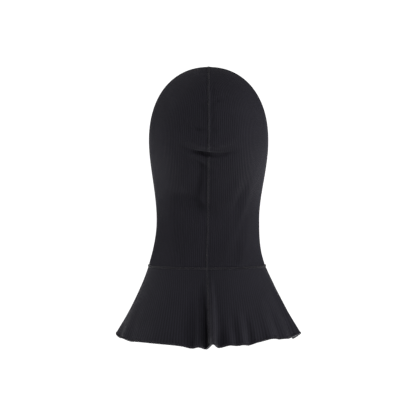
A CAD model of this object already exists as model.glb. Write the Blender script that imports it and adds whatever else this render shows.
"""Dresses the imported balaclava: rib knit panels, flatlocked seams, a gathered face band and an
overlocked hem, in soft studio light. Lengths are in metres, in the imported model's frame: the
face looks along -Y, the nape along +Y, +X is the wearer's left and the origin is on the inside
of the crown."""

import math

import bpy
import numpy as np
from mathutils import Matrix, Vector


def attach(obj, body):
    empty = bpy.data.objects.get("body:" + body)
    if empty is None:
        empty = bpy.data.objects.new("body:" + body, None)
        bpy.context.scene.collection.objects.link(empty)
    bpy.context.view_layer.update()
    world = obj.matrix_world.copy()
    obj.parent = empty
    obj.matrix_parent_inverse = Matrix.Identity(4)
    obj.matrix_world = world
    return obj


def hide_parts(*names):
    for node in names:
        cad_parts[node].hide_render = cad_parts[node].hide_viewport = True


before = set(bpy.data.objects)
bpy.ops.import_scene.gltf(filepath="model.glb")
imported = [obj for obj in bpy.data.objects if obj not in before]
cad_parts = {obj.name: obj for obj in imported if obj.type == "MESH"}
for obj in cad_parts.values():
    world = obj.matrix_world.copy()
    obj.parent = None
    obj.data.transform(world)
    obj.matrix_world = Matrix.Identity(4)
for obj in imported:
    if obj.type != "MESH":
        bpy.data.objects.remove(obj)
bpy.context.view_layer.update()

# Driving dimensions of the form, as in the frame.
WALL = 0.0016

HEAD_DROP = 0.100
HEAD_WIDTH = 0.1618
HEAD_BACK = 0.098
HEAD_FRONT = 0.100

NECK_DROP = 0.2065
NECK_WIDTH = 0.1392
NECK_BACK = 0.060
NECK_FRONT = 0.091

COLLAR_DROP = 0.269
COLLAR_WIDTH = 0.1588
COLLAR_BACK = 0.070
COLLAR_FRONT = 0.080
COLLAR_DIP = 0.0005

BIB_DROP = 0.093
HEM_DROP = COLLAR_DROP + BIB_DROP
HEM_WIDTH = 0.2474
HEM_BACK = 0.104
HEM_FRONT = 0.114
HEM_DIP = 0.004
HEM_LIFT = 0.0055

FACE_TOP = 0.073
FACE_HEIGHT = 0.132
FACE_GIRTH = 0.124
FACE_MIDDLE = FACE_TOP + FACE_HEIGHT / 2
BAND_WIDTH = 0.012
BAND_THICKNESS = 0.0028
BAND_PROUD = 0.0009
BAND_LAP = 0.005

HOOD_FOLD = 0.0042
BIB_FOLD = 0.009
RUFFLE = 0.0017

# How round the dome, the level sections and the face opening are: 2 is an ellipse. The opening
# narrows downwards by FACE_TAPER, and the hood's folds fade out over FOLD_FADE of the depth of
# its back.
DOME_WIDTH_ROUND = 2.2
DOME_DEPTH_ROUND = 2.35
SECTION_POWER = 2 / 2.1
FACE_ROUND = 2.25
FACE_TAPER = 0.06
FOLD_FADE = 0.35

# The level sections below the dome, with the slope of each size there. Sway is a share of the
# section's width.
LEVELS = {
    "drop": (HEAD_DROP, NECK_DROP, COLLAR_DROP, HEM_DROP),
    "half": (HEAD_WIDTH / 2, NECK_WIDTH / 2, COLLAR_WIDTH / 2, HEM_WIDTH / 2),
    "half slope": (0, 0, 0.36, 0.465),
    "back": (HEAD_BACK, NECK_BACK, COLLAR_BACK, HEM_BACK),
    "back slope": (0, 0, 0.32, 0.38),
    "front": (HEAD_FRONT, NECK_FRONT, COLLAR_FRONT, HEM_FRONT),
    "front slope": (0, -0.1, 0.28, 0.4),
    "sway": (0, 0.0067, 0.014, 0),
    "sway slope": (0, 0, -0.115 / COLLAR_DROP, 0),
}

# The knit: the wales across a panel, their depth, and the length of a course. The hood's ribs
# are shallow beside its seams and over the crown, and INNER_RIBS is what shows of them inside.
HOOD_RIBS_BACK = 52
HOOD_RIBS_FRONT = 52
HOOD_RIB_DEPTH = 0.0006
LEAST_RIB = 0.2
CROWN_SMOOTH = 0.04
SEAM_SMOOTH = 0.004
COLLAR_SMOOTH = 0.005
INNER_RIBS = 0.5
BIB_RIBS = 92
BIB_RIB_DEPTH = 0.0002
COURSE = 0.0012

# How far the wales close up over the crown before they run out into its seam, and over how
# much of that they slow down.
RELAXED = 0.62
RELAXED_SPAN = 0.3

# How finely the panels are divided. The hood's rows are closer together, by CREASE_FINER, from
# CREASE_START to CREASE_END.
STEPS_PER_RIB = 4
HOOD_ROW = 0.0021
CREASE_FINER = 0.0010
CREASE_START = 0.075
CREASE_END = 0.145
CREASE_EDGE = 0.02
BIB_ROWS = 66
HOOD_INNER_STEP = 6
BIB_INNER_STEP = 3
FINE = 6001

# The seams: flat, raised and overstitched, with a groove on each side. On the hood's centre
# seam the groove is deeper on the wearer's left than on the right, by LEFT_GROOVE each way.
# FRONT_SEAM and BIB_SEAM are the parts of the rise that show there, BIB_SEAM_END is where the
# stitches down the bib end, as a share of its drop, and SEAM_LAP how far those of the hood run
# on under the face band.
SEAM_WIDTH = 0.0024
SEAM_RISE = 0.0005
SEAM_GROOVE = 0.0008
LEFT_GROOVE = 0.6
FRONT_SEAM = 0.8
BIB_SEAM = 0.5
BIB_SEAM_END = 0.985
SEAM_LAP = 0.002
STITCH_PITCH = 0.0017
STITCH_LENGTH = 0.0021
STITCH_GAP = 0.0007
STITCH_DIPS = (-1.2, 0.8, 1.1, 0.8, -1.2)
THREAD = 0.00018
THREAD_SIDES = 5
COVER_POINTS = 8

# The gathers beside the seams: their height, their waves along the seam, how far off it they
# lie and spread, and the shift that makes each side's its own.
PUCKER = 0.0004
PUCKER_FINE = 0.0013
PUCKER_WAVE = 0.0024
PUCKER_GROUP = 0.009
PUCKER_OFF = 0.0048
PUCKER_SPREAD = 0.0042
SIDE_SHIFT = 0.9

# How much of each seam's rise shows: down the back by the share of the collar's drop, and along
# the collar by the share of half its width, from the wearer's right to the left. In front the
# collar's seam shows evenly.
BACK_SEAM = (
    (0, 0.9), (0.147, 0.9), (0.19, 0.6), (0.21, 1.2), (0.225, 0.7), (0.25, 1.1), (0.31, 1.1),
    (0.33, 0.6), (0.36, 1), (0.43, 1), (0.455, 0.4), (0.48, 1.2), (0.5, 1.2), (0.52, 0.7),
    (0.55, 1), (0.68, 1), (0.71, 0.3), (0.79, 0.3), (0.83, 0.8), (1, 0.7),
)
COLLAR_SEAM_FRONT = 0.7
COLLAR_SEAM = (
    (-1, 0.9), (-0.3, 1.1), (-0.17, 1.5), (-0.02, 1.4), (0, 0.1), (0.08, 0.1), (0.11, 0.6),
    (0.3, 0.6), (0.4, 0.3), (0.75, 0.3), (0.85, 0.7), (1, 0.7),
)

# The folds of the hood's back. x and drop give the middle, as shares of half the head's width
# and of the collar's drop, length and breadth the half extents, tilt the rise to the wearer's
# right in degrees, bow how far the ends lift and rise the height, as a share of HOOD_FOLD.
FOLD_COLUMNS = ("x", "drop", "tilt", "length", "breadth", "bow", "rise")
HOOD_FOLDS = (
    (0.0, 0.395, 0, 0.42, 0.13, 0.12, 0.8),
    (0.0, 0.413, -3, 0.28, 0.05, 0.22, 0.4),
    (-0.016, 0.4545, -5, 0.25, 0.031, 0.13, -2.7),
    (0.2, 0.405, -25, 0.2, 0.03, 0, 0.2),
    (-0.24, 0.407, 22, 0.22, 0.03, 0, 0.18),
    (0.15, 0.381, -49, 0.15, 0.025, 0, 0.14),
    (0.16, 0.338, -12, 0.09, 0.03, 0, -0.65),
    (-0.07, 0.338, 0, 0.05, 0.04, 0, -0.45),
    (-0.13, 0.194, 0, 0.06, 0.03, 0, -0.55),
    (0.12, 0.235, 0, 0.05, 0.05, 0, -0.25),
    (0.01, 0.215, 0, 0.03, 0.03, 0, 0.15),
    (-0.06, 0.285, 68, 0.12, 0.022, 0, -0.16),
    (-0.03, 0.275, 72, 0.12, 0.022, 0, 0.1),
    (0.08, 0.26, 80, 0.1, 0.04, 0, -0.14),
    (0.085, 0.235, 90, 0.26, 0.034, 0, -0.22),
    (-0.06, 0.2, 88, 0.4, 0.034, 0, -0.22),
    (0.13, 0.6, 84, 0.36, 0.11, 0, -1.7),
    (0.14, 0.502, -34, 0.16, 0.065, 0, -0.75),
    (0.03, 0.49, 0, 0.06, 0.03, 0, 0.1),
    (0.2, 0.69, -27, 0.3, 0.11, 0, -1.7),
    (0.1, 0.71, -24, 0.12, 0.05, 0, -0.25),
    (-0.42, 0.626, 62, 0.26, 0.075, 0, 0.22),
    (-0.475, 0.672, 67, 0.24, 0.055, 0, -0.3),
    (-0.565, 0.71, 71, 0.44, 0.055, 0, 0.45),
    (-0.57, 0.9, 79, 0.32, 0.08, 0, 0.5),
    (-0.3, 0.88, 84, 0.3, 0.1, 0, 0.35),
    (0.55, 0.88, -80, 0.3, 0.06, 0, 0.16),
)

# The folds of the bib. along and spread are shares of half the girth, from the middle of the
# back to the wearer's left, lean is how much further along a fold starts at the collar seam,
# and start is where it begins, as a share of the bib's drop.
BIB_FOLD_COLUMNS = ("along", "lean", "spread", "start", "rise")
BIB_FOLDS = (
    (0.0125, 0.013, 0.016, 0.12, -2.1),
    (-0.0155, 0, 0.0115, 0.08, 1.35),
    (0.064, 0, 0.024, 0.2, -1.2),
    (-0.043, 0, 0.016, 0.55, -0.36),
    (-0.096, 0, 0.013, 0.55, -0.33),
    (-0.122, 0, 0.013, 0.5, 0.25),
    (-0.152, 0, 0.015, 0.55, -0.5),
    (-0.228, 0, 0.018, 0.5, 0.35),
    (-0.28, 0, 0.018, 0.4, -0.45),
    (0.52, 0, 0.04, 0.6, 0.22),
    (0.4, 0, 0.05, 0.5, -0.12),
    (-0.39, 0, 0.022, 0.15, 0.65),
    (-0.45, 0, 0.03, 0.25, -0.95),
    (-0.35, 0, 0.022, 0.25, -0.25),
    (0.2, 0, 0.05, 0.3, 0.25),
    (0.33, 0, 0.03, 0.45, -0.25),
    (0.62, 0, 0.05, 0.3, -0.45),
    (0.83, 0, 0.06, 0.2, 0.45),
    (0.97, 0, 0.035, 0.2, -0.6),
    (-0.64, 0, 0.05, 0.3, -0.4),
    (-0.74, 0, 0.05, 0.2, 0.35),
    (-0.84, 0, 0.05, 0.25, -0.35),
)

# Where the hem is drawn up or hangs: the middle, the spread and the lift, a share of HEM_LIFT.
HEM_LIFTS = (
    (-0.011, 0.014, 0.35),
    (0.014, 0.012, 0.25),
    (0.04, 0.03, -0.3),
    (-0.055, 0.03, -0.25),
    (0.13, 0.05, 0.17),
    (-0.27, 0.12, 0.85),
    (-0.31, 0.035, -0.25),
    (-0.385, 0.03, 0.3),
)
RUFFLE_WAVES = 13
RUFFLE_START = 0.72
RUFFLE_LIFT = 0.45

# The overlocked hem: the half extents of its rolled edge and how far that sits above the end
# of the cloth, and the pitch, half extents and half thickness of the thread wound round it.
HEM_POINTS = 2400
HEM_STEP = 0.03
HEM_ROLL = (0.0015, 0.0011)
HEM_ROLL_SIDES = 10
HEM_TUCK = 0.0008
OVERLOCK_PITCH = 0.0016
OVERLOCK_LOOP = (0.00165, 0.00125)
OVERLOCK_THREAD = 0.00026
OVERLOCK_POINTS = 9

# The face band: its gathers, the rounding of its edges, and its two rows of stitches, with
# their grooves, all measured from the band's outer edge.
BAND_STEPS = 640
BAND_ROWS = 13
BAND_WAVES = (0.0032, 0.0051)
BAND_GATHER = 0.00016
BAND_EDGE = 0.0009
BAND_GROOVES = (0.0030, 0.0062)
BAND_GROOVE_SPREAD = 0.0006
BAND_GROOVE = 0.0003
BAND_WALE = 0.0026
BAND_STITCH_MIDDLE = 0.0046
BAND_STITCH_OFF = 0.0016
BAND_STITCH_SUNK = 0.0001

# The photo's view: a camera behind the hood, at the height of its middle.
CAMERA_REACH = 1.6
CAMERA_PLACE = (0.0015, CAMERA_REACH, -0.1883)
VIEW_WIDTH = 0.5644
SENSOR = 36

# The studio: a white floor and surround that glow, and softboxes that all look at the middle
# of the hood. Each has a place, a width and its watts, and left and right are the picture's.
MIDDLE = (0, 0, -0.19)
GLOW = 1.1
WORLD_LIGHT = 0.02
FLOOR_SIZE = 12
FLOOR_HEIGHT = -2.2
SURROUND_RADIUS = 9
LIGHTS = (
    ("right_low", (-0.78, -1.35, -1.75), 1.4, 126),
    ("left_low", (0.85, -1.3, -1.6), 1.4, 103),
    ("right_side", (-2.1, 0.56, -0.57), 1.4, 40),
    ("left_side", (2.1, 0.56, -0.57), 1.4, 32),
    ("key", (-0.78, 1.35, 1.37), 1.4, 35),
    ("left_high", (1.35, -0.78, 1.37), 1.4, 19),
    ("low", (-0.49, 1.84, -1.29), 1.4, 8),
    ("front", (0, -1.9, 0.4), 1.6, 12),
)

# The materials: for each knit the colour between the wales, the colour on them and the depth
# of its stitches, and for the thread its two colours. The finishes are roughness, specular
# level and sheen. RELIEF is the strength of the fine bump, CHEVRON how far a stitch slants over
# half a wale, and each pattern the scale and detail of a noise.
KNITS = {
    "rib_knit": ((0.0042, 0.0039, 0.006), (0.0172, 0.0161, 0.0235), 0.00018),
    "bib_knit": ((0.0054, 0.0051, 0.0075), (0.0162, 0.0152, 0.0222), 0.00012),
    "band_knit": ((0.0054, 0.0051, 0.0075), (0.0158, 0.0148, 0.0216), 0.00014),
}
THREAD_COLOURS = ((0.0046, 0.004, 0.0068), (0.0125, 0.0112, 0.0178))
KNIT_FINISH = (0.92, 0.18, 0.02)
THREAD_FINISH = (0.6, 0.35, 0.1)
SHEEN_ROUGHNESS = 0.4
RELIEF = 0.8
CHEVRON = 1.7
FUZZ = (2600, 3)
PATCHES = (22, 4)
TWIST = (3400, 2)
TWIST_DEPTH = 0.0001


def ease(t):
    t = np.clip(t, 0, 1)
    return t * t * (3 - 2 * t)


def round_off(x, roundness):
    return np.maximum(0, 1 - np.abs(x) ** roundness) ** (1 / roundness)


def bell(x):
    return np.exp(-x * x)


def unit(vectors):
    return vectors / np.maximum(np.linalg.norm(vectors, axis=-1, keepdims=True), 1e-12)


def walk(points):
    """The way from the first point to each point, along the last axis but one."""
    steps = np.linalg.norm(np.diff(points, axis=-2), axis=-1)
    return np.concatenate([np.zeros((*steps.shape[:-1], 1)), np.cumsum(steps, axis=-1)], axis=-1)


def level_curve(key, drop):
    """The named size at each drop, on a smooth curve from level to level."""
    drops, values, slopes = LEVELS["drop"], LEVELS[key], LEVELS[key + " slope"]
    out = np.full(np.shape(drop), float(values[0]))
    for i in range(len(drops) - 1):
        span = drops[i + 1] - drops[i]
        t = (drop - drops[i]) / span
        here = (
            (2 * t**3 - 3 * t**2 + 1) * values[i]
            + (t**3 - 2 * t**2 + t) * span * slopes[i]
            + (3 * t**2 - 2 * t**3) * values[i + 1]
            + (t**3 - t**2) * span * slopes[i + 1]
        )
        out = np.where(drop >= drops[i], here, out)
    return out


def add_up(steps):
    return np.concatenate([[0], np.cumsum(steps)])


def section(drop):
    """The half width, back reach, front reach and sway of the level section at each drop."""
    up = np.clip(1 - drop / HEAD_DROP, 0, 1)
    wide, deep = round_off(up, DOME_WIDTH_ROUND), round_off(up, DOME_DEPTH_ROUND)
    half = level_curve("half", drop)
    sway = 2 * level_curve("sway", drop) * half * ease((drop - HEAD_DROP) / HEAD_DROP)
    return half * wide, level_curve("back", drop) * deep, level_curve("front", drop) * deep, sway


def plain(side, drop, turn):
    """A point of the undented outside. turn runs from the middle of the back to the front."""
    half, back, front, sway = section(drop)
    cos, sin = np.maximum(np.cos(turn), 0), np.sin(turn)
    out = np.abs(sin) ** SECTION_POWER
    y = np.where(sin > 0, back, -front) * out
    hung = COLLAR_DIP * ease((drop - NECK_DROP) / (COLLAR_DROP - NECK_DROP))
    hung = hung + (HEM_DIP - COLLAR_DIP) * ease((drop - COLLAR_DROP) / BIB_DROP)
    x = side * half * cos**SECTION_POWER + sway
    return np.stack(np.broadcast_arrays(x, y, WALL - drop - hung * out**2), axis=-1)


def plain_normal(side, drop, turn):
    """The outward direction there, which is up at the pole of the crown."""
    step_turn, step_drop, pole = 1e-3, 2e-4, 6e-4
    ahead = np.maximum(turn - step_turn, -math.pi / 2)
    behind = np.minimum(turn + step_turn, math.pi / 2)
    above = np.maximum(drop - step_drop, 0)
    across = plain(side, drop, ahead) - plain(side, drop, behind)
    down = plain(side, drop + step_drop, turn) - plain(side, above, turn)
    normal = unit(np.asarray(side)[..., None] * np.cross(across, down))
    return np.where((drop > pole)[..., None], normal, (0.0, 0.0, 1.0))


def profile_way(drops, reach):
    """The way down a profile to each drop."""
    return add_up(np.hypot(np.diff(drops), np.diff(reach)))


# Tables of the way round the level sections, from the middle of the back to that of the front:
# each row is a drop, and each column an even share of the turn or of the way. The drops lie
# closer near the crown, and the last is a little past the hem.
SHARES = np.linspace(0, 1, 721)
TURNS = math.pi * (0.5 - SHARES)
DOME_DROPS = HEAD_DROP * np.linspace(0.004, 1, 240) ** 2
DROPS = np.concatenate([DOME_DROPS, np.linspace(HEAD_DROP, HEM_DROP + 0.002, 440)[1:]])
SECTION_POINTS = plain(1, np.repeat(DROPS[:, None], len(TURNS), axis=1), TURNS[None])
WALKED = walk(SECTION_POINTS[..., :2])
GIRTHS, QUARTERS = WALKED[:, -1], WALKED[:, len(TURNS) // 2]
TURN_AT = np.stack([np.interp(SHARES * row[-1], row, TURNS) for row in WALKED])
PROFILE = profile_way(DROPS, section(DROPS)[1])


def look_up(table, drop, share):
    """The table's value at each drop and share of the columns, blended between its entries."""
    row = np.interp(drop, DROPS, np.arange(len(DROPS)))
    column = np.clip(share, 0, 1) * (len(SHARES) - 1)
    r = np.minimum(row.astype(int), len(DROPS) - 2)
    c = np.minimum(column.astype(int), len(SHARES) - 2)
    down, along = row - r, column - c
    upper = table[r, c] * (1 - along) + table[r, c + 1] * along
    lower = table[r + 1, c] * (1 - along) + table[r + 1, c + 1] * along
    return upper * (1 - down) + lower * down


def girth_at(drop):
    """The way round half a level section, from the middle of the back to that of the front."""
    return np.interp(drop, DROPS, GIRTHS)


def placed(side, drop, way):
    """Points and normals of the plain outside, this way round from the middle of the back."""
    turn = look_up(TURN_AT, drop, way / girth_at(drop))
    return plain(side, drop, turn), plain_normal(side, drop, turn)


def hood_fold(p):
    """How far the folds lift the hood at points of its plain outside: only behind."""
    head = HEAD_WIDTH / 2
    total = 0
    for row in HOOD_FOLDS:
        fold = dict(zip(FOLD_COLUMNS, row))
        x = -(p[..., 0] - fold["x"] * head)
        z = p[..., 2] - (WALL - fold["drop"] * COLLAR_DROP)
        tilt = math.radians(fold["tilt"])
        along = (x * math.cos(tilt) + z * math.sin(tilt)) / (fold["length"] * head)
        bowed = fold["bow"] * fold["length"] * head * along**2
        across = (z * math.cos(tilt) - x * math.sin(tilt) - bowed) / (fold["breadth"] * head)
        total = total + fold["rise"] * bell(along) * bell(across)
    return HOOD_FOLD * ease(p[..., 1] / (FOLD_FADE * HEAD_BACK)) * total


def pucker(place, off, seed):
    """Small gathers beside a seam: place is along the seam and off the way from it. They come
    in groups, and the seed shifts the waves against each other."""
    wave = 0.35 * np.sin(place / PUCKER_FINE + seed) + np.sin(place / PUCKER_WAVE + 2.3 * seed)
    wave = wave * (0.5 + 0.5 * np.sin(place / PUCKER_GROUP + 3.1 * seed))
    return PUCKER * wave * bell((off - PUCKER_OFF) / PUCKER_SPREAD)


def seam_lift(off, groove=1.0):
    """A seam's flat ridge and the groove beside it, at a way off its middle."""
    ridge = SEAM_RISE / (1 + (off / (0.5 * SEAM_WIDTH)) ** 6)
    return ridge - groove * SEAM_GROOVE * bell((off - 0.8 * SEAM_WIDTH) / (0.28 * SEAM_WIDTH))


def collar_shows(p):
    """How much of the collar seam's rise shows at points beside it."""
    shown = np.interp(p[..., 0] / (COLLAR_WIDTH / 2), *zip(*COLLAR_SEAM))
    return np.where(p[..., 1] > 0, shown, COLLAR_SEAM_FRONT)


def wale_way(way, whole, girth):
    """Where a wale that is this way round a girth of whole gets to where the girth is another.
    Wales keep their distance near the seams and close up or spread between them."""
    return way - (whole - girth) * ease(way / whole)


def rib_profile(wale, depth):
    """Round wales with a narrow valley between each two."""
    return depth * (np.abs(np.cos(math.pi * wale)) - 2 / math.pi)


def hood_lift(side, drop, way, base):
    """How far the dressed hood stands off its plain form, without the ribs."""
    along = np.interp(drop, DROPS, PROFILE)
    lift = hood_fold(base) + collar_shows(base) * seam_lift(COLLAR_DROP - drop)
    shown = np.interp(drop / COLLAR_DROP, *zip(*BACK_SEAM))
    for off, part, seed in ((way, shown, 1.7), (girth_at(drop) - way, FRONT_SEAM, 4.1)):
        lift = lift + part * seam_lift(off, 1 + LEFT_GROOVE * side)
        lift = lift + pucker(along, off, seed + SIDE_SHIFT * side)
    return lift


def hood_levels():
    """The drops of the hood's rows: even along the profile, and closer round the creases."""
    fine = np.linspace(0, COLLAR_DROP, FINE)
    half, back, _, _ = section(fine)
    steps = np.hypot(np.diff(fine), 0.5 * (np.abs(np.diff(half)) + np.abs(np.diff(back))))
    middle = (fine[1:] + fine[:-1]) / 2
    starts = ease((middle - CREASE_START) / CREASE_EDGE)
    ends = ease((CREASE_END - middle) / CREASE_EDGE)
    count = add_up(steps / (HOOD_ROW - CREASE_FINER * starts * ends))
    return np.interp(np.linspace(0, count[-1], int(count[-1]) + 1), count, fine)


def hole_half(drop):
    """Half the girth of the hood's hole, whose edge is inside the face band."""
    down = (drop - FACE_MIDDLE) / (FACE_HEIGHT / 2 + BAND_WIDTH - BAND_LAP)
    widest = FACE_GIRTH / 2 + BAND_WIDTH - BAND_LAP
    return widest * round_off(np.clip(down, -1, 1), FACE_ROUND) * (1 - FACE_TAPER * down)


def signed_volume(vertices, faces):
    """The volume inside the faces, below zero where they are turned inwards."""
    total = 0
    for group in faces:
        for k in range(1, group.shape[1] - 1):
            a, b, c = (vertices[group[:, j]] for j in (0, k, k + 1))
            total += np.einsum("ij,ij->", a, np.cross(b, c))
    return total / 6


def add_mesh(name, vertices, faces, uv, material):
    """A closed mesh of groups of faces, each an array with a row of corners for every face. The
    faces of a mesh turn the same way, and all are turned outwards here."""
    if signed_volume(vertices, faces) < 0:
        faces = [group[:, ::-1] for group in faces]
    used, corners = np.unique(np.concatenate([group.ravel() for group in faces]), return_inverse=True)
    sizes = np.concatenate([np.full(len(group), group.shape[1]) for group in faces])
    mesh = bpy.data.meshes.new(name)
    mesh.vertices.add(len(used))
    mesh.vertices.foreach_set("co", vertices[used].astype(np.float32).ravel())
    mesh.loops.add(len(corners))
    mesh.loops.foreach_set("vertex_index", corners.astype(np.int32).ravel())
    mesh.polygons.add(len(sizes))
    mesh.polygons.foreach_set("loop_start", (np.cumsum(sizes) - sizes).astype(np.int32))
    mesh.polygons.foreach_set("use_smooth", np.ones(len(sizes), dtype=bool))
    if uv is not None:
        layer = mesh.uv_layers.new(name="Knit")
        layer.data.foreach_set("uv", uv[used][corners.ravel()].astype(np.float32).ravel())
    mesh.update(calc_edges=True)
    mesh.validate()
    mesh.materials.append(material)
    obj = bpy.data.objects.new(name, mesh)
    bpy.context.scene.collection.objects.link(obj)
    return obj


def grid_faces(index):
    """The faces of a grid of vertex numbers, where neighbours may be one vertex."""
    a, b = index[:-1, :-1].ravel(), index[:-1, 1:].ravel()
    d, c = index[1:, :-1].ravel(), index[1:, 1:].ravel()
    upper, lower = a == b, c == d
    return [
        np.stack([a, b, c, d], axis=1)[~upper & ~lower],
        np.stack([a, c, d], axis=1)[upper & ~lower],
        np.stack([a, b, c], axis=1)[lower & ~upper],
    ]


def shell(name, outer, inner, shown, inner_rows, uv, material):
    """A closed shell of an outer grid and an inner one that has only inner_rows of its rows.
    Row r shows the columns from shown[0][r] to shown[1][r], and the others fall on those two."""
    rows, columns = outer.shape[:2]
    first, last = shown
    column = np.clip(np.arange(columns)[None, :], first[:, None], last[:, None])
    out_index = np.arange(rows)[:, None] * columns + column
    in_index = rows * columns + np.arange(len(inner_rows))[:, None] * columns + column[inner_rows]
    faces = grid_faces(out_index) + [group[:, ::-1] for group in grid_faces(in_index)]
    for i in range(len(inner_rows) - 1):
        strip = slice(inner_rows[i], inner_rows[i + 1] + 1)
        start = [*out_index[strip, 0], in_index[i + 1, 0], in_index[i, 0]]
        end = [*out_index[strip, -1], in_index[i + 1, -1], in_index[i, -1]]
        faces += [np.array([start]), np.array([end[::-1]])]
    top = np.stack([out_index[0, 1:], out_index[0, :-1], in_index[0, :-1], in_index[0, 1:]], axis=1)
    low = np.stack([out_index[-1, :-1], out_index[-1, 1:], in_index[-1, 1:], in_index[-1, :-1]], axis=1)
    faces += [rim[rim[:, 0] != rim[:, 1]] for rim in (top, low)]
    vertices = np.concatenate([outer.reshape(-1, 3), inner.reshape(-1, 3)])
    uv = np.concatenate([uv.reshape(-1, 2), uv[inner_rows].reshape(-1, 2)])
    return add_mesh(name, vertices, [group for group in faces if len(group)], uv, material)


def every(count, step):
    """Every so many of a count of rows, and the last of them."""
    return np.unique([*range(0, count, step), count - 1])


def hood_panel(side, name, material):
    """Half the hood. Its columns follow the wales, which close up towards the crown, run out
    into its seam there, and stay upright below the head."""
    levels = hood_levels()
    head_girth, head_quarter = (np.interp(HEAD_DROP, DROPS, table) for table in (GIRTHS, QUARTERS))
    back = np.linspace(-head_quarter, 0, STEPS_PER_RIB * HOOD_RIBS_BACK + 1)
    front = np.linspace(0, head_girth - head_quarter, STEPS_PER_RIB * HOOD_RIBS_FRONT + 1)
    wales = np.concatenate([back, front[1:]])
    drop, wale = np.meshgrid(levels, wales, indexing="ij")
    girth, quarter = girth_at(drop), np.interp(drop, DROPS, QUARTERS)
    shrunk = np.where(wale < 0, quarter / head_quarter, (girth - quarter) / (head_girth - head_quarter))
    mixed = np.maximum(0, 1 - np.abs(shrunk - RELAXED) / RELAXED_SPAN)
    over_dome = quarter + wale * (np.maximum(shrunk, RELAXED) + RELAXED_SPAN / 4 * mixed**2)
    upright = wale_way(head_quarter + wale, head_girth, girth)
    hole = girth - hole_half(drop)
    way = np.clip(np.where(drop < HEAD_DROP, over_dome, upright), 0, hole)
    first = np.maximum(0, (way <= 1e-7).sum(axis=1) - 1)
    last = len(wales) - np.maximum(1, (way >= hole - 1e-7).sum(axis=1))
    first[0] = last[0] = len(back) - 1
    base, normal = placed(side, drop, way)
    shown = ease(np.minimum(way, girth - way) / SEAM_SMOOTH)
    shown = shown * ease((COLLAR_DROP - drop) / COLLAR_SMOOTH) * ease(drop / CROWN_SMOOTH)
    number = np.arange(len(wales)) / STEPS_PER_RIB
    ribs = rib_profile(number, HOOD_RIB_DEPTH) * (LEAST_RIB + (1 - LEAST_RIB) * shown)
    outer = base + normal * (hood_lift(side, drop, way, base) + ribs)[..., None]
    inner_rows = every(len(levels), HOOD_INNER_STEP)
    inner = base + normal * (hood_fold(base) + INNER_RIBS * ribs - WALL)[..., None]
    down = walk(base[:, len(back) - 1])
    uv = np.stack(np.broadcast_arrays(number[None], down[:, None] / COURSE), axis=-1)
    return shell(name, outer, inner[inner_rows], (first, last), inner_rows, uv, material)


def apart(share, along):
    """How far a share of half the girth is from another, the shorter way round."""
    return share - along - 2 * np.round((share - along) / 2)


def ruffle(share, down):
    """Uneven small waves that grow towards the hem."""
    grown = ease((down - RUFFLE_START) / (1 - RUFFLE_START))
    wander = 0.03 * np.sin(5 * math.pi * share)
    change = 0.5 * np.cos(3 * math.pi * share)
    return grown * np.sin(math.pi * RUFFLE_WAVES * (share + wander)) * (1 + change)


def bib_fold(share, down):
    """How far the folds and ruffles lift the bib. share is of half the girth."""
    total = 0
    for row in BIB_FOLDS:
        fold = dict(zip(BIB_FOLD_COLUMNS, row))
        grown = np.maximum(0, (down - fold["start"]) / (1 - fold["start"]))
        along = fold["along"] + fold["lean"] * (1 - down)
        total = total + fold["rise"] * grown * bell(apart(share, along) / fold["spread"])
    return BIB_FOLD * total + RUFFLE * ruffle(share, down)


def hem_rise(share, down):
    """How far the hem's folds and ruffles draw the cloth up."""
    up = sum(lift * bell(apart(share, along) / spread) for along, spread, lift in HEM_LIFTS)
    return HEM_LIFT * down**2 * up - RUFFLE_LIFT * RUFFLE * ruffle(share + 0.5 / RUFFLE_WAVES, down)


def bib_surface(side, down, share):
    """Points, normals and lifts of the bib. share is of half the girth, from the back seam."""
    drop = COLLAR_DROP + BIB_DROP * down
    way = share * girth_at(drop)
    base, normal = placed(side, drop, way)
    base[..., 2] += hem_rise(side * share, down)
    lift = bib_fold(side * share, down) + collar_shows(base) * seam_lift(BIB_DROP * down)
    for off, seed in ((way, 0.6), (girth_at(drop) - way, 3.2)):
        lift = lift + BIB_SEAM * seam_lift(off) + pucker(drop, off, seed + SIDE_SHIFT * side)
    return base, normal, lift


def bib_panel(side, name, material):
    """Half the bib. Its wales start evenly at the collar seam and spread towards the hem."""
    columns = STEPS_PER_RIB * BIB_RIBS + 1
    levels, starts = np.linspace(0, 1, BIB_ROWS), np.linspace(0, 1, columns)
    down, start = np.meshgrid(levels, starts, indexing="ij")
    whole, girth = girth_at(COLLAR_DROP), girth_at(COLLAR_DROP + BIB_DROP * down)
    share = wale_way(start * whole, whole, girth) / girth
    base, normal, lift = bib_surface(side, down, share)
    number = np.arange(columns) / STEPS_PER_RIB
    ribs = rib_profile(number, BIB_RIB_DEPTH)[None]
    outer = base + normal * (lift + ribs)[..., None]
    inner_rows = every(BIB_ROWS, BIB_INNER_STEP)
    folds = bib_fold(side * share, down)
    inner = base + normal * (folds + INNER_RIBS * ribs - WALL)[..., None]
    uv = np.stack(np.broadcast_arrays(number[None], BIB_DROP * down / COURSE), axis=-1)
    shown = np.zeros(BIB_ROWS, int), np.full(BIB_ROWS, columns - 1)
    return shell(name, outer, inner[inner_rows], shown, inner_rows, uv, material)


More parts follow.
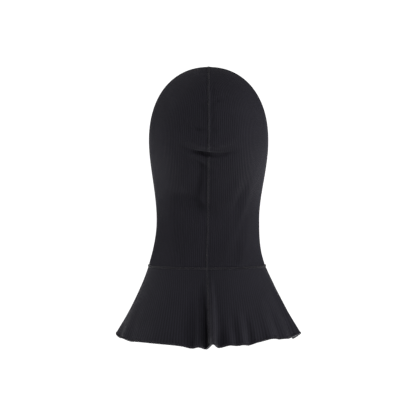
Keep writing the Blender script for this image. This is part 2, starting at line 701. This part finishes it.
def tube(name, centre, across, out, radii, sides, closed, material):
    """Tubes along paths: centre, across and out are (paths, points, 3), and radii the half
    thickness across and outward. A closed tube joins its ends and an open one is capped."""
    paths, points = centre.shape[:2]
    angle = 2 * math.pi * np.arange(sides) / sides
    ring = radii[0] * np.cos(angle)[:, None] * across[:, :, None]
    ring = ring + radii[1] * np.sin(angle)[:, None] * out[:, :, None]
    index = np.arange(paths * points * sides).reshape(paths, points, sides)
    around = np.concatenate([index, index[:, :, :1]], axis=2)
    if closed:
        around = np.concatenate([around, around[:, :1]], axis=1)
    a, b, d, c = around[:, :-1, :-1], around[:, :-1, 1:], around[:, 1:, :-1], around[:, 1:, 1:]
    faces = [np.stack([a, b, c, d], axis=-1).reshape(-1, 4)]
    if not closed:
        faces += [index[:, 0, ::-1], index[:, -1]]
    return add_mesh(name, (centre[:, :, None] + ring).reshape(-1, 3), faces, None, material)


def frames(path, out):
    """The sideways and outward directions of paths, given roughly outward ones."""
    tangent = unit(np.gradient(path, axis=-2))
    across = unit(np.cross(tangent, out))
    return across, unit(np.cross(across, tangent))


def cover_thread(name, surface, length, closed, material):
    """The thread that goes to and fro over a flatlocked seam. surface(place, off) gives points
    and normals at places along the seam, and off to the side of it."""
    step = STITCH_PITCH / COVER_POINTS
    place = np.arange(int(length / STITCH_PITCH) * COVER_POINTS) * step
    if closed:
        place = place * (length / (place[-1] + step))
    phase = 2 * math.pi * np.arange(len(place)) / COVER_POINTS
    off = 0.5 * SEAM_WIDTH * np.clip(1.25 * np.sin(phase), -1, 1)
    points, normals = surface(place, off)
    points = points + normals * (THREAD * (0.6 + 0.4 * np.cos(2 * phase)))[:, None]
    across, out = frames(points, normals)
    path, radii = (points[None], across[None], out[None]), (THREAD, THREAD)
    return tube(name, *path, radii, THREAD_SIDES, closed, material)


def stitch_rows(name, surface, length, offs, material):
    """Rows of short stitches along a seam, each going into the cloth at its ends."""
    start = np.arange(0, length - STITCH_LENGTH, STITCH_LENGTH + STITCH_GAP)
    place = start[:, None] + np.linspace(0, STITCH_LENGTH, len(STITCH_DIPS))
    dip = THREAD * np.array(STITCH_DIPS)
    made = [surface(place.ravel(), np.full(place.size, off)) for off in offs]
    points = np.concatenate([p.reshape(*place.shape, 3) for p, _ in made])
    normals = np.concatenate([n.reshape(*place.shape, 3) for _, n in made])
    points = points + normals * dip[:, None]
    across, out = frames(points, normals)
    radii = (1.15 * THREAD, THREAD)
    return tube(name, points, across, out, radii, THREAD_SIDES, False, material)


def flatlock(name, surface, length, closed, material):
    """A flatlocked seam's threads: the cover thread, and a row of stitches on each edge."""
    sides = (-0.5 * SEAM_WIDTH, 0.5 * SEAM_WIDTH)
    return [
        cover_thread(name + "_cover", surface, length, closed, material),
        stitch_rows(name + "_rows", surface, length, sides, material),
    ]


def hood_surface(drop, off, front):
    """Points and normals of the dressed hood, off to the wearer's left of a centre seam."""
    drop = np.maximum(drop, 1e-5)
    side = np.where(off < 0, -1, 1)
    way = np.where(front, girth_at(drop) - np.abs(off), np.abs(off))
    base, normal = placed(side, drop, way)
    return base + normal * hood_lift(side, drop, way, base)[:, None], normal


def crown_seam(material):
    """The flatlock from the collar up the nape, over the crown and down to the face band."""
    brow = FACE_TOP - BAND_WIDTH + SEAM_LAP
    fine = np.linspace(0, COLLAR_DROP, 2000)
    _, back, ahead, _ = section(fine)
    climb, descent = profile_way(fine, back), profile_way(fine, ahead)

    def surface(place, off):
        front = place > climb[-1]
        up = np.interp(climb[-1] - place, climb, fine)
        down = np.interp(place - climb[-1], descent, fine)
        return hood_surface(np.where(front, down, up), off, front)

    length = climb[-1] + np.interp(brow, fine, descent)
    return flatlock("crown_seam", surface, length, False, material)


def chin_seam(material):
    """The flatlock from the face band down to the collar."""
    start = FACE_TOP + FACE_HEIGHT + BAND_WIDTH - SEAM_LAP

    def surface(place, off):
        return hood_surface(start + place, off, True)

    return flatlock("chin_seam", surface, COLLAR_DROP - start, False, material)


def bib_seam(name, front, material):
    """The flatlock down the middle of the bib, in front or behind."""
    def surface(place, off):
        side = np.where(off < 0, -1, 1)
        share = np.abs(off) / girth_at(COLLAR_DROP + place)
        base, normal, lift = bib_surface(side, place / BIB_DROP, 1 - share if front else share)
        return base + normal * lift[:, None], normal

    return flatlock(name, surface, BIB_SEAM_END * BIB_DROP, False, material)


def collar_seam(material):
    """The flatlock round the collar, from the middle of the back by the wearer's left."""
    half = float(girth_at(COLLAR_DROP))

    def surface(place, off):
        side = np.where(place % (2 * half) < half, 1, -1)
        way = np.where(side > 0, place % (2 * half), 2 * half - place % (2 * half))
        base, normal = placed(side, np.full(place.shape, COLLAR_DROP), way)
        base[:, 2] += off
        return base + normal * SEAM_RISE, normal

    return flatlock("collar_seam", surface, 2 * half, True, material)


def hem(edge_material, thread_material):
    """The overlocked hem: a rolled edge of cloth and the thread wound round it."""
    share = 2 * np.arange(HEM_POINTS) / HEM_POINTS
    side, part = np.where(share < 1, 1, -1), np.where(share < 1, share, 2 - share)
    base, normal, lift = bib_surface(side, np.ones(HEM_POINTS), part)
    above, above_normal, above_lift = bib_surface(side, np.full(HEM_POINTS, 1 - HEM_STEP), part)
    points = base + normal * (lift - 0.5 * WALL)[:, None]
    hang = unit(points - above - above_normal * (above_lift - 0.5 * WALL)[:, None])
    out = unit(np.cross(np.roll(points, -1, axis=0) - np.roll(points, 1, axis=0), hang))
    centre = points - hang * HEM_TUCK
    path = (centre[None], hang[None], out[None])
    edge = tube("hem_edge", *path, HEM_ROLL, HEM_ROLL_SIDES, True, edge_material)
    length = np.linalg.norm(points - np.roll(points, 1, axis=0), axis=1).sum()
    turns = int(length / OVERLOCK_PITCH)
    phase = np.arange(turns * OVERLOCK_POINTS) / OVERLOCK_POINTS
    ring = np.arange(HEM_POINTS + 1)

    def picked(values):
        """The hem's values at the points of the wound thread."""
        closed = np.concatenate([values, values[:1]])
        at = phase / turns * HEM_POINTS
        return np.stack([np.interp(at, ring, closed[:, k]) for k in range(3)], axis=-1)

    low, mid, outward = picked(hang), picked(centre), picked(out)
    angle = 2 * math.pi * phase
    cos, sin = np.cos(angle), np.sin(angle)
    wound = mid + low * (OVERLOCK_LOOP[0] * cos)[:, None] + outward * (OVERLOCK_LOOP[1] * sin)[:, None]
    across, away = frames(wound, low * cos[:, None] + outward * sin[:, None])
    path, radii = (wound[None], across[None], away[None]), (OVERLOCK_THREAD, OVERLOCK_THREAD)
    thread = tube("hem_overlock", *path, radii, THREAD_SIDES, True, thread_material)
    return [edge, thread]


def face_surface(turn, inset):
    """Points and normals of the plain hood, an inset inside the band's outer edge."""
    power = 2 / FACE_ROUND
    cos, sin = np.cos(turn), np.sin(turn)
    down = np.sign(sin) * np.abs(sin) ** power
    share = np.sign(cos) * np.abs(cos) ** power * (1 - FACE_TAPER * down)
    off = (FACE_GIRTH / 2 + BAND_WIDTH - inset) * share
    drop = FACE_MIDDLE + (FACE_HEIGHT / 2 + BAND_WIDTH - inset) * down
    return placed(np.where(off < 0, -1, 1), drop, girth_at(drop) - np.abs(off))


def face_band(knit_material, thread):
    """The doubled band round the face, gathered by its elastic, with two rows of stitches."""
    turns = 2 * math.pi * np.arange(BAND_STEPS + 1) / BAND_STEPS
    turn, share = np.meshgrid(turns[:-1], np.linspace(0, 1, BAND_ROWS))
    points, normals = face_surface(turn, share * BAND_WIDTH)
    middle = points[BAND_ROWS // 2]
    walked = walk(np.concatenate([middle, middle[:1]]))
    place = walked[:-1]
    edge = BAND_EDGE * np.abs(2 * share - 1) ** 3
    first, second = (2 * math.pi * place / wave for wave in BAND_WAVES)
    gather = BAND_GATHER * (np.sin(first) + 0.5 * np.sin(second + 1)) * (0.35 + 0.65 * share)
    dip = sum(bell((share * BAND_WIDTH - at) / BAND_GROOVE_SPREAD) for at in BAND_GROOVES)
    top = BAND_PROUD - edge + gather - BAND_GROOVE * dip
    low = BAND_PROUD - BAND_THICKNESS + edge + gather
    upper = points + normals * top[..., None]
    lower = points + normals * low[..., None]
    whole = np.concatenate([upper, lower[::-1]])
    index = np.arange(whole.shape[0] * BAND_STEPS).reshape(-1, BAND_STEPS)
    index = np.concatenate([index, index[:1]])
    index = np.concatenate([index, index[:, :1]], axis=1)
    across = np.concatenate([share, share[::-1]]) * BAND_WIDTH / COURSE
    uv = np.stack(np.broadcast_arrays(place[None] / BAND_WALE, across), axis=-1).reshape(-1, 2)
    band = add_mesh("face_band_knit", whole.reshape(-1, 3), grid_faces(index)[:1], uv, knit_material)

    def surface(place, off):
        points, normals = face_surface(np.interp(place, walked, turns), BAND_STITCH_MIDDLE + off)
        return points + normals * (BAND_PROUD - BAND_STITCH_SUNK), normals

    offs = (-BAND_STITCH_OFF, BAND_STITCH_OFF)
    return [band, stitch_rows("face_band_rows", surface, walked[-1], offs, thread)]


def calc(tree, operation, *values):
    made = tree.nodes.new("ShaderNodeMath")
    made.operation = operation
    for slot, value in zip(made.inputs, values):
        if isinstance(value, (int, float)):
            slot.default_value = value
        else:
            tree.links.new(value, slot)
    return made.outputs[0]


def noise(tree, scale, detail):
    place = tree.nodes.new("ShaderNodeTexCoord")
    made = tree.nodes.new("ShaderNodeTexNoise")
    made.inputs["Scale"].default_value = scale
    made.inputs["Detail"].default_value = detail
    tree.links.new(place.outputs["Object"], made.inputs["Vector"])
    return made.outputs["Fac"]


def relief(tree, height, depth):
    bump = tree.nodes.new("ShaderNodeBump")
    bump.inputs["Strength"].default_value = RELIEF
    bump.inputs["Distance"].default_value = depth
    tree.links.new(height, bump.inputs["Height"])
    tree.links.new(bump.outputs["Normal"], tree.nodes["Principled BSDF"].inputs["Normal"])


def shade(tree, factor, dark, light):
    mix = tree.nodes.new("ShaderNodeMix")
    mix.data_type = "RGBA"
    mix.inputs["A"].default_value = (*dark, 1)
    mix.inputs["B"].default_value = (*light, 1)
    tree.links.new(factor, mix.inputs["Factor"])
    tree.links.new(mix.outputs["Result"], tree.nodes["Principled BSDF"].inputs["Base Color"])


def cloth_shader(name, roughness, specular, sheen):
    material = bpy.data.materials.new(name)
    material.use_nodes = True
    shader = material.node_tree.nodes["Principled BSDF"]
    shader.inputs["Roughness"].default_value = roughness
    shader.inputs["Specular IOR Level"].default_value = specular
    shader.inputs["Sheen Weight"].default_value = sheen
    shader.inputs["Sheen Roughness"].default_value = SHEEN_ROUGHNESS
    return material


def knit(name, dark, light, depth):
    """Knit: chevrons of stitches on every wale, dark between the wales, and a little fuzz."""
    material = cloth_shader(name, *KNIT_FINISH)
    tree = material.node_tree
    where = tree.nodes.new("ShaderNodeUVMap")
    where.uv_map = "Knit"
    split = tree.nodes.new("ShaderNodeSeparateXYZ")
    tree.links.new(where.outputs["UV"], split.inputs[0])
    wale = calc(tree, "SUBTRACT", calc(tree, "FRACT", calc(tree, "ADD", split.outputs[0], 0.5)), 0.5)
    off = calc(tree, "ABSOLUTE", wale)
    course = calc(tree, "ADD", split.outputs[1], calc(tree, "MULTIPLY", off, CHEVRON))
    loop = calc(tree, "ABSOLUTE", calc(tree, "SINE", calc(tree, "MULTIPLY", course, math.pi)))
    crest = calc(tree, "COSINE", calc(tree, "MULTIPLY", off, math.pi))
    fuzz, patches = (noise(tree, *pattern) for pattern in (FUZZ, PATCHES))
    relief(tree, calc(tree, "MULTIPLY_ADD", fuzz, 0.35, calc(tree, "MULTIPLY", loop, crest)), depth)
    tone = calc(tree, "MULTIPLY_ADD", patches, 0.5, calc(tree, "MULTIPLY", loop, 0.2))
    tone = calc(tree, "ADD", tone, calc(tree, "MULTIPLY", crest, 0.4))
    tone = calc(tree, "MULTIPLY", tone, calc(tree, "MULTIPLY_ADD", crest, 0.75, 0.25))
    shade(tree, tone, dark, light)
    return material


def yarn(name, dark, light):
    """Sewing thread: twisted, a little shinier than the cloth."""
    material = cloth_shader(name, *THREAD_FINISH)
    tree = material.node_tree
    twist = noise(tree, *TWIST)
    relief(tree, twist, TWIST_DEPTH)
    shade(tree, twist, dark, light)
    return material


def glowing(name):
    material = bpy.data.materials.new(name)
    material.use_nodes = True
    shader = material.node_tree.nodes["Principled BSDF"]
    shader.inputs["Base Color"].default_value = (0.9, 0.9, 0.9, 1)
    shader.inputs["Roughness"].default_value = 1.0
    shader.inputs["Emission Color"].default_value = (1, 1, 1, 1)
    shader.inputs["Emission Strength"].default_value = GLOW
    return material


def camera():
    data = bpy.data.cameras.new("camera")
    data.sensor_width = SENSOR
    data.lens = SENSOR * CAMERA_REACH / VIEW_WIDTH
    obj = bpy.data.objects.new("camera", data)
    obj.location = CAMERA_PLACE
    obj.rotation_euler = (math.radians(90), 0, math.radians(180))
    bpy.context.scene.collection.objects.link(obj)
    bpy.context.scene.camera = obj


def softbox(name, place, width, watts):
    data = bpy.data.lights.new(name, "AREA")
    data.shape = "RECTANGLE"
    data.size = data.size_y = width
    data.energy = watts
    obj = bpy.data.objects.new(name, data)
    obj.location = place
    obj.rotation_euler = (Vector(MIDDLE) - Vector(place)).to_track_quat("-Z", "Y").to_euler()
    bpy.context.scene.collection.objects.link(obj)


def studio():
    """A white floor, a white surround that lights nothing, and the softboxes."""
    scene = bpy.context.scene
    scene.view_settings.view_transform = "Standard"
    world = bpy.data.worlds.new("world")
    world.use_nodes = True
    background = world.node_tree.nodes["Background"]
    background.inputs["Color"].default_value = (1, 1, 1, 1)
    background.inputs["Strength"].default_value = WORLD_LIGHT
    scene.world = world
    bpy.ops.mesh.primitive_plane_add(size=FLOOR_SIZE, location=(0, 0, FLOOR_HEIGHT))
    floor = bpy.context.object
    floor.name = "floor"
    floor.data.materials.append(glowing("floor_white"))
    sphere = {"radius": SURROUND_RADIUS, "segments": 48, "ring_count": 24, "location": MIDDLE}
    bpy.ops.mesh.primitive_uv_sphere_add(**sphere)
    surround = bpy.context.object
    surround.name = "surround"
    surround.data.materials.append(glowing("surround_white"))
    surround.visible_diffuse = False
    surround.visible_glossy = False
    surround.visible_transmission = False
    surround.visible_shadow = False
    floor.visible_diffuse = False
    for light in LIGHTS:
        softbox(*light)


def dress():
    """The cloth and its seams, each in the material slot of the node that it belongs to."""
    rib, fine, band = (knit(name, *look) for name, look in KNITS.items())
    thread = yarn("sewing_thread", *THREAD_COLOURS)
    pieces = {slot: [] for slot in KNITS}
    for word, side in (("left", 1), ("right", -1)):
        hood = hood_panel(side, f"hood_{word}_knit", rib)
        bib = bib_panel(side, f"bib_{word}_knit", fine)
        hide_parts(f"hood_{word}")
        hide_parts(f"bib_{word}")
        pieces["rib_knit"].append(hood)
        pieces["bib_knit"].append(bib)
    band_piece, band_rows = face_band(band, thread)
    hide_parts("face_band")
    pieces["band_knit"] += [band_piece, band_rows]
    pieces["rib_knit"] += crown_seam(thread) + chin_seam(thread) + collar_seam(thread)
    pieces["bib_knit"] += bib_seam("back_bib_seam", False, thread)
    pieces["bib_knit"] += bib_seam("front_bib_seam", True, thread)
    pieces["bib_knit"] += hem(fine, thread)
    for slot, members in pieces.items():
        for piece in members:
            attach(piece, "root")


camera()
studio()
dress()
